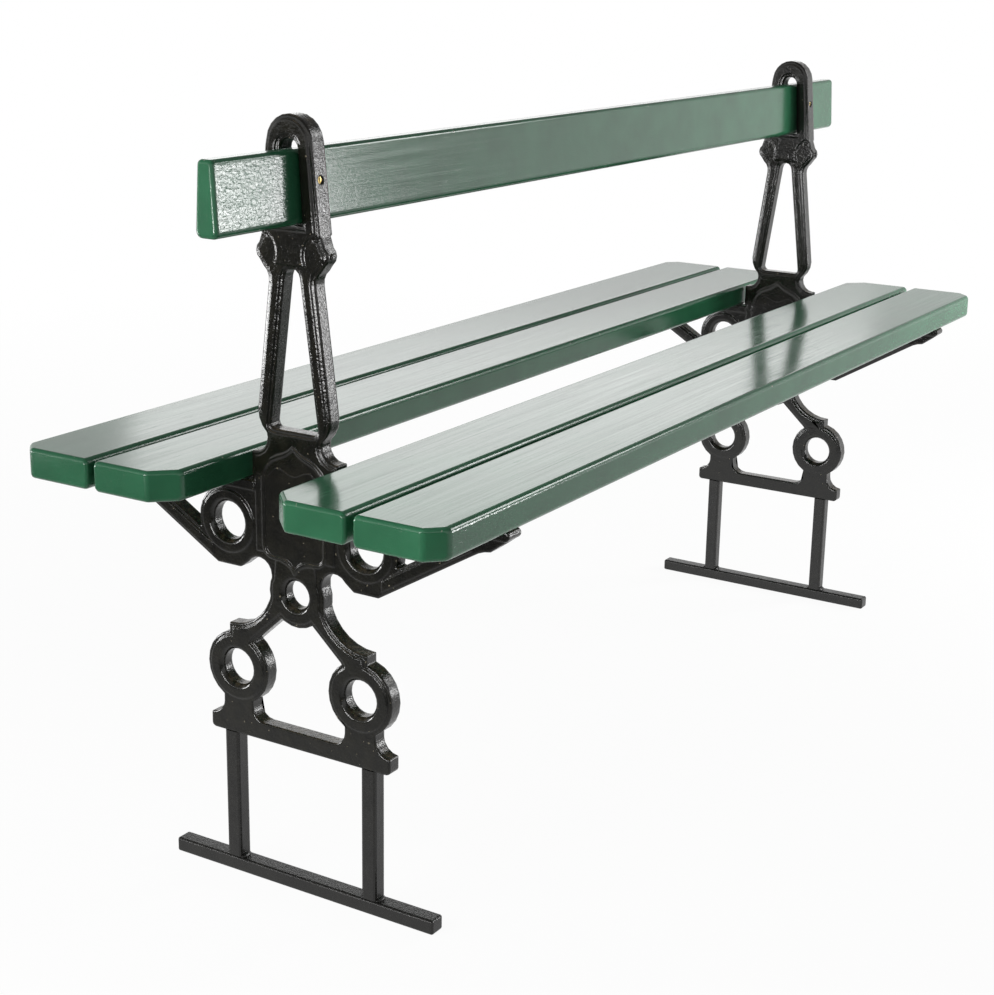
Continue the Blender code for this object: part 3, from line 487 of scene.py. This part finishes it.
def line_height(y):
    """Height of the raised line at a distance from the middle of the shield."""
    peak_y, peak_z = LINE_PEAK
    if abs(y) < peak_y:
        return LINE_DIP + (peak_z - LINE_DIP) * swing(abs(y) / peak_y)
    return peak_z + (LINE_END - peak_z) * swing((abs(y) - peak_y) / (LINE_HALF - peak_y))


for end, end_sign in ENDS.items():
    for look, look_sign in (("outer", end_sign), ("inner", -end_sign)):
        bm = bmesh.new()
        bmesh.ops.create_grid(bm, x_segments=40, y_segments=1, size=1.0)
        for vert in bm.verts:
            y = vert.co.x * LINE_HALF
            vert.co = Vector((0.0, y, line_height(y) + vert.co.y * LINE_WIDTH / 2))
        strip = bm.faces[:]
        grown = bmesh.ops.extrude_face_region(bm, geom=strip, use_keep_orig=True)["geom"]
        lifted = [g for g in grown if isinstance(g, bmesh.types.BMVert)]
        bmesh.ops.translate(bm, verts=lifted, vec=(look_sign * (LINE_PROUD + LINE_SUNK), 0.0, 0.0))
        foot = end_sign * frame_x + look_sign * (SHIELD_FLOOR - LINE_SUNK)
        bmesh.ops.translate(bm, verts=bm.verts[:], vec=(foot, 0.0, 0.0))
        bmesh.ops.recalc_face_normals(bm, faces=bm.faces[:])
        crest = [e for e in sharp_edges(bm, SQUARE_ANGLE) if all(v in lifted for v in e.verts)]
        round_edges(bm, crest, LINE_EDGE * LINE_PROUD, 2)
        line = finish_piece(f"{end}_{look}_shield_line", bm, iron)
        print(line.name, "faces:", len(line.data.polygons))

# %% [markdown]
# ## Seat planks
# Each plank is a planed board whose long edges are well rounded for comfort and whose two outer corners
# are cut off at 45 degrees. A cube scaled to the board is clipped and rounded in that order, because the
# rounding has to run into the clipped corner, as it does when a plane follows the saw.

# %% Seat planks
SEAT_ROUND = 9.0 * MM
END_ROUND = 6.0 * MM
LONG_EDGE = 1.0
ARRIS_ANGLE = 28
CLIPS = {"inner": 36 * MM, "outer": 26 * MM}


def board(low, high):
    """A plain board between two corners."""
    bm = bmesh.new()
    size = Vector(high) - Vector(low)
    middle = (Vector(high) + Vector(low)) / 2
    bmesh.ops.create_cube(bm, size=1.0, matrix=Matrix.Translation(middle) @ Matrix.Diagonal((*size, 1.0)))
    return bm


for side in SIDES:
    for row, clip in CLIPS.items():
        node = f"{side}_{row}_plank"
        low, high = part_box(node)
        bm = board(low, high)
        free_y = max(low[1], high[1], key=abs) if row == "outer" else min(low[1], high[1], key=abs)
        upright = [e for e in bm.edges if abs(e.verts[0].co.z - e.verts[1].co.z) > MM]
        corners = [e for e in upright if abs(e.verts[0].co.y - free_y) < MM]
        bmesh.ops.bevel(bm, geom=corners, offset=clip, affect="EDGES", segments=1, profile=0.5, material=-1)
        round_edges(bm, [e for e in bm.edges if e.calc_length() > LONG_EDGE], SEAT_ROUND, 6)
        round_edges(bm, sharp_edges(bm, ARRIS_ANGLE), END_ROUND, 3)
        plank = finish_piece(f"{side}_{row}_seat_plank", bm, green, node)
        print(plank.name, "faces:", len(plank.data.polygons))

# %% [markdown]
# ## Back plank
# The back is thinner at its head than at its foot, so that both sides lean. The board is made square,
# its upper edges are drawn together, and then its edges are rounded, the lower ones more.

# %% Back plank
FOOT_ROUND = 11.0 * MM
HEAD_ROUND = 7.0 * MM
BACK_HEAD_SHARE = 0.675

low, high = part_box("back_plank")
bm = board(low, high)
waist = (low[2] + high[2]) / 2
bmesh.ops.scale(bm, vec=(1.0, BACK_HEAD_SHARE, 1.0), verts=[v for v in bm.verts if v.co.z > waist])
foot_edges = [e for e in bm.edges if e.calc_length() > LONG_EDGE and e.verts[0].co.z < waist]
round_edges(bm, foot_edges, FOOT_ROUND, 6)
head_edges = [e for e in sharp_edges(bm, SQUARE_ANGLE) if e.calc_length() > LONG_EDGE]
round_edges(bm, head_edges, HEAD_ROUND, 5)
round_edges(bm, sharp_edges(bm, ARRIS_ANGLE), END_ROUND, 3)
back = finish_piece("back_rest_plank", bm, green, "back_plank")
print(back.name, "faces:", len(back.data.polygons))

# %% [markdown]
# ## Ground bars and welds
# Each pair of legs is welded to a length of square bar. The bar's edges and ends are rounded by rolling
# and cutting. The weld is a lumpy bead on both sides of a leg's foot: a ball drawn out along the bar,
# with its points pushed in and out by a noise.

# %% Ground bars
BAR_ROUND = 4.0 * MM

for end in ENDS:
    bm = board(*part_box(f"{end}_ground_bar"))
    round_edges(bm, bm.edges[:], BAR_ROUND, 4)
    bar = finish_piece(f"{end}_foot_bar", bm, steel, f"{end}_ground_bar")
    print(bar.name, "faces:", len(bar.data.polygons))

# %% Weld beads
BEAD = Vector((11.0, 5.5, 4.5)) * MM
LUMP = 1.0 * MM
LUMP_SIZE = 6.0

for end in ENDS:
    bar_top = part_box(f"{end}_ground_bar")[1][2]
    for side in SIDES:
        low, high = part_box(f"{end}_{side}_leg")
        bm = bmesh.new()
        for y in (low[1], high[1]):
            spot = Matrix.Translation(((low[0] + high[0]) / 2, y, bar_top)) @ Matrix.Diagonal((*BEAD, 1.0))
            bmesh.ops.create_uvsphere(bm, u_segments=24, v_segments=12, radius=1.0, matrix=spot)
        bm.normal_update()
        for vert in bm.verts:
            vert.co += vert.normal * LUMP * noise.noise(vert.co * per_mm(LUMP_SIZE))
        weld = finish_piece(f"{end}_{side}_weld", bm, steel)
        print(weld.name, "faces:", len(weld.data.polygons))

# %% [markdown]
# ## Screws
# The CAD screws have plain heads. A copy of each gets a driver slot: the flat of the head is inset, cut
# by two planes, and the strip between them is pushed in.

# %% Slotted screws
SLOT_WIDTH = 1.2 * MM
SLOT_DEPTH = 0.9 * MM
SLOT_MARGIN = 1.1 * MM


def cut_slot(bm, outward, across):
    """Push a strip of the head's flat end face into the head."""
    head = max(bm.faces, key=lambda f: f.calc_center_median().dot(outward))
    middle = head.calc_center_median()
    bmesh.ops.inset_region(bm, faces=[head], thickness=SLOT_MARGIN, use_even_offset=True)
    flat = [head]
    for shift in (-SLOT_WIDTH / 2, SLOT_WIDTH / 2):
        parts = flat + list({e for f in flat for e in f.edges}) + list({v for f in flat for v in f.verts})
        cut = bmesh.ops.bisect_plane(bm, geom=parts, plane_co=middle + across * shift, plane_no=across)
        flat = [g for g in cut["geom"] if isinstance(g, bmesh.types.BMFace)]
    strip = min(flat, key=lambda f: abs((f.calc_center_median() - middle).dot(across)))
    grown = bmesh.ops.extrude_face_region(bm, geom=[strip])["geom"]
    sunk = [g for g in grown if isinstance(g, bmesh.types.BMVert)]
    bmesh.ops.translate(bm, verts=sunk, vec=-SLOT_DEPTH * outward)
    bmesh.ops.delete(bm, geom=[strip], context="FACES")


for name, node in list(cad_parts.items()):
    if not name.endswith("_screw"):
        continue
    in_loop = name.endswith("_back_screw")
    outward = Vector((0, 0, -1))
    if in_loop:
        outward = Vector((0, SIDES["front" if "front" in name else "rear"], 0))
    bm = bmesh.new()
    bm.from_mesh(node.data)
    bmesh.ops.remove_doubles(bm, verts=bm.verts[:], dist=MERGE)
    bmesh.ops.dissolve_limit(bm, angle_limit=math.radians(FLAT_ANGLE), verts=bm.verts[:], edges=bm.edges[:])
    cut_slot(bm, outward, Vector((1, 0, 0)))
    metal, slot = (brass, "brass") if in_loop else (zinc, "zinc")
    finish_piece(f"{name}_slotted", bm, metal, name)
print("screws with slots:", sum(name.endswith("_screw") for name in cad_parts))

# %% [markdown]
# ## Legs
# The legs are plain square bar. They could be copied and rounded as the castings are, but a piece that is
# right as it stands needs no copy: its material slot only takes the new paint.

# %% Painted legs
for name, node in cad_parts.items():
    if name.endswith("_leg"):
        node.data.materials.clear()
        node.data.materials.append(steel)
        print("painted", name)

# %% [markdown]
# ## Floor, world and lamps
# The photograph is a cut-out on white. The floor and the world are white to the camera and to reflections,
# and light the bench far less than that, so that its colours stay as they are written. Near the bench the
# floor shows a little of its own paint, which keeps the shadow, and farther off it fades to the same white
# as the world, so that no horizon shows. In reflections the floor is dim to the left of the bench and bright
# under and beyond it, and the world is brightest near the horizon. That is what shapes the black iron.
# The lamps work as in a photo studio. Those that give light are two soft windows and a far white
# wall. Those that give only a glint are white cards: they show in reflections and draw the bright lines
# along rims and edges, but add no light to the colours. Most of them stand low, so that the flat seats
# don't mirror them from other sides.

# %% Floor
FLOOR_SIZE = 30.0

bm = bmesh.new()
bmesh.ops.create_grid(bm, x_segments=1, y_segments=1, size=FLOOR_SIZE / 2)
mesh = bpy.data.meshes.new("floor")
bm.to_mesh(mesh)
bm.free()
floor = bpy.data.objects.new("floor", mesh)
bpy.context.collection.objects.link(floor)
print("floor:", FLOOR_SIZE, "m")

# %% Floor paint
PLAIN_WHITE = 1.0
NEAR_GLOW = 0.95
FADE_START = 1.2
FADE_END = 4.5
DIM_FLOOR = 0.10
DIM_EDGE = -2.3
BRIGHT_EDGE = -0.4

paper = bpy.data.materials.new("white_studio_floor")
paper.use_nodes = True
tree = paper.node_tree
tree.nodes.clear()
place = add_node(tree, "ShaderNodeTexCoord", {})
spot = add_node(tree, "ShaderNodeSeparateXYZ", {"Vector": place.outputs["Object"]})
pool = add_node(tree, "ShaderNodeMapRange", {
    "Value": spot.outputs["X"], "From Min": DIM_EDGE, "From Max": BRIGHT_EDGE,
    "To Min": DIM_FLOOR, "To Max": PLAIN_WHITE})
ray = add_node(tree, "ShaderNodeLightPath", {})
mirrored = add_node(tree, "ShaderNodeMath", {
    0: ray.outputs["Is Glossy Ray"], 1: ray.outputs["Is Transmission Ray"]}, operation="MAXIMUM")
seen = add_node(tree, "ShaderNodeMath", {
    0: ray.outputs["Is Camera Ray"], 1: mirrored.outputs["Value"]}, operation="MAXIMUM")
away = add_node(tree, "ShaderNodeVectorMath", {0: place.outputs["Object"]}, operation="LENGTH")
rear_shade_and_floor_fade = add_node(tree, "ShaderNodeMapRange", {
    "Value": away.outputs["Value"], "From Min": FADE_START, "From Max": FADE_END,
    "To Min": NEAR_GLOW, "To Max": 1.0})
share = add_node(tree, "ShaderNodeMath", {
    0: seen.outputs["Value"], 1: rear_shade_and_floor_fade.outputs["Result"]}, operation="MULTIPLY")
level = add_node(tree, "ShaderNodeMapRange", {
    "Value": mirrored.outputs["Value"], "To Min": PLAIN_WHITE, "To Max": pool.outputs["Result"]})
matte = add_node(tree, "ShaderNodeBsdfDiffuse", {"Color": linear("#F2F2F0")})
glow = add_node(tree, "ShaderNodeEmission", {
    "Color": linear("#FFFFFF"), "Strength": level.outputs["Result"]})
mix = add_node(tree, "ShaderNodeMixShader", {
    0: share.outputs["Value"], 1: matte.outputs["BSDF"], 2: glow.outputs["Emission"]})
add_node(tree, "ShaderNodeOutputMaterial", {"Surface": mix.outputs["Shader"]})
mesh.materials.append(paper)
print("the floor fades to white from", FADE_START, "to", FADE_END, "m")

# %% World
WORLD_LIGHT = 0.23
DARK_CEILING = 0.22
BRIGHT_BELOW = 0.30
DARK_ABOVE = 0.50

world = bpy.data.worlds.new("white_studio")
bpy.context.scene.world = world
world.use_nodes = True
tree = world.node_tree
tree.nodes.clear()
ray = add_node(tree, "ShaderNodeLightPath", {})
mirrored = add_node(tree, "ShaderNodeMath", {
    0: ray.outputs["Is Glossy Ray"], 1: ray.outputs["Is Transmission Ray"]}, operation="MAXIMUM")
way = add_node(tree, "ShaderNodeTexCoord", {})
axes = add_node(tree, "ShaderNodeSeparateXYZ", {"Vector": way.outputs["Generated"]})
sky_glow = add_node(tree, "ShaderNodeMapRange", {
    "Value": axes.outputs["Z"], "From Min": BRIGHT_BELOW, "From Max": DARK_ABOVE,
    "To Min": PLAIN_WHITE, "To Max": DARK_CEILING})
lit = add_node(tree, "ShaderNodeMapRange", {
    "Value": mirrored.outputs["Value"], "To Min": WORLD_LIGHT, "To Max": sky_glow.outputs["Result"]})
level = add_node(tree, "ShaderNodeMapRange", {
    "Value": ray.outputs["Is Camera Ray"], "To Min": lit.outputs["Result"], "To Max": PLAIN_WHITE})
sky = add_node(tree, "ShaderNodeBackground", {
    "Color": linear("#FFFFFF"), "Strength": level.outputs["Result"]})
add_node(tree, "ShaderNodeOutputWorld", {"Surface": sky.outputs["Background"]})
print("world light:", WORLD_LIGHT)

# %% Lamps
# Each lamp has its place, aim, size, power in watts, and what it gives: light, a glint or both.
LAMPS = {
    "left_window": ((-3.3, 0.9, 1.7), (-0.8, 0.0, 0.6), (2.4, 2.0), 73.0, "light"),
    "far_white_wall": ((4.35, 2.85, 2.42), (0.0, 0.0, 0.7), (3.5, 1.4), 22.5, "both"),
    "right_window": ((2.2, -1.3, 0.95), (0.2, 0.0, 0.9), (0.9, 0.9), 44.0, "light"),
    "right_wall": ((4.6, -2.6, 0.9), (0.0, 0.0, 0.9), (2.6, 1.6), 5.0, "glint"),
    "low_left_card": ((-4.25, 0.7, 0.47), (-0.85, 0.0, 0.6), (1.3, 0.36), 46.0, "glint"),
    "low_rear_card": ((-2.1, 2.5, 0.42), (-0.85, 0.0, 0.5), (1.4, 0.36), 34.0, "glint"),
    "right_card": ((2.17, -3.22, 0.78), (-0.9, 0.0, 1.0), (1.2, 0.66), 56.0, "glint"),
    "right_high_card": ((2.4, -1.9, 2.3), (0.2, 0.0, 0.8), (0.9, 0.9), 26.0, "glint"),
}
for name, (place, target, size, power, gives) in LAMPS.items():
    data = bpy.data.lights.new(name, "AREA")
    data.shape = "RECTANGLE"
    data.size, data.size_y = size
    data.energy = power
    lamp = bpy.data.objects.new(name, data)
    lamp.location = place
    lamp.rotation_euler = (Vector(target) - Vector(place)).to_track_quat("-Z", "Y").to_euler()
    lamp.visible_diffuse = gives != "glint"
    lamp.visible_glossy = gives != "light"
    lamp.visible_camera = False
    bpy.context.collection.objects.link(lamp)
    print(name, power, "W")

# %% [markdown]
# ## Camera
# The camera could be placed by eye. Here its place, turn and lens come from matching the two equal end
# frames in the photograph, because two frames of one shape at a known distance fix all three.

# %% Camera
CAMERA_PLACE = (-2.897, -1.594, 1.3924)
CAMERA_YAW = math.radians(31.6227)
CAMERA_PITCH = math.radians(16.4714)
CAMERA_ROLL = math.radians(0.9863)
FOCAL_PIXELS = 1868.68
IMAGE_HEIGHT = 995

ahead = Vector((math.cos(CAMERA_YAW) * math.cos(CAMERA_PITCH),
                math.sin(CAMERA_YAW) * math.cos(CAMERA_PITCH), -math.sin(CAMERA_PITCH)))
level_right = Vector((math.sin(CAMERA_YAW), -math.cos(CAMERA_YAW), 0.0))
level_up = level_right.cross(ahead)
right = math.cos(CAMERA_ROLL) * level_right + math.sin(CAMERA_ROLL) * level_up
up = math.cos(CAMERA_ROLL) * level_up - math.sin(CAMERA_ROLL) * level_right
turn = Matrix((right, up, -ahead)).transposed().to_4x4()

lens = bpy.data.cameras.new("photo_camera")
lens.sensor_fit = "VERTICAL"
lens.sensor_height = 36.0
lens.lens = FOCAL_PIXELS / IMAGE_HEIGHT * lens.sensor_height
camera = bpy.data.objects.new("photo_camera", lens)
camera.matrix_world = Matrix.Translation(CAMERA_PLACE) @ turn
bpy.context.collection.objects.link(camera)
bpy.context.scene.camera = camera
bpy.context.scene.view_settings.view_transform = "Standard"
print("lens:", round(lens.lens, 2), "mm")
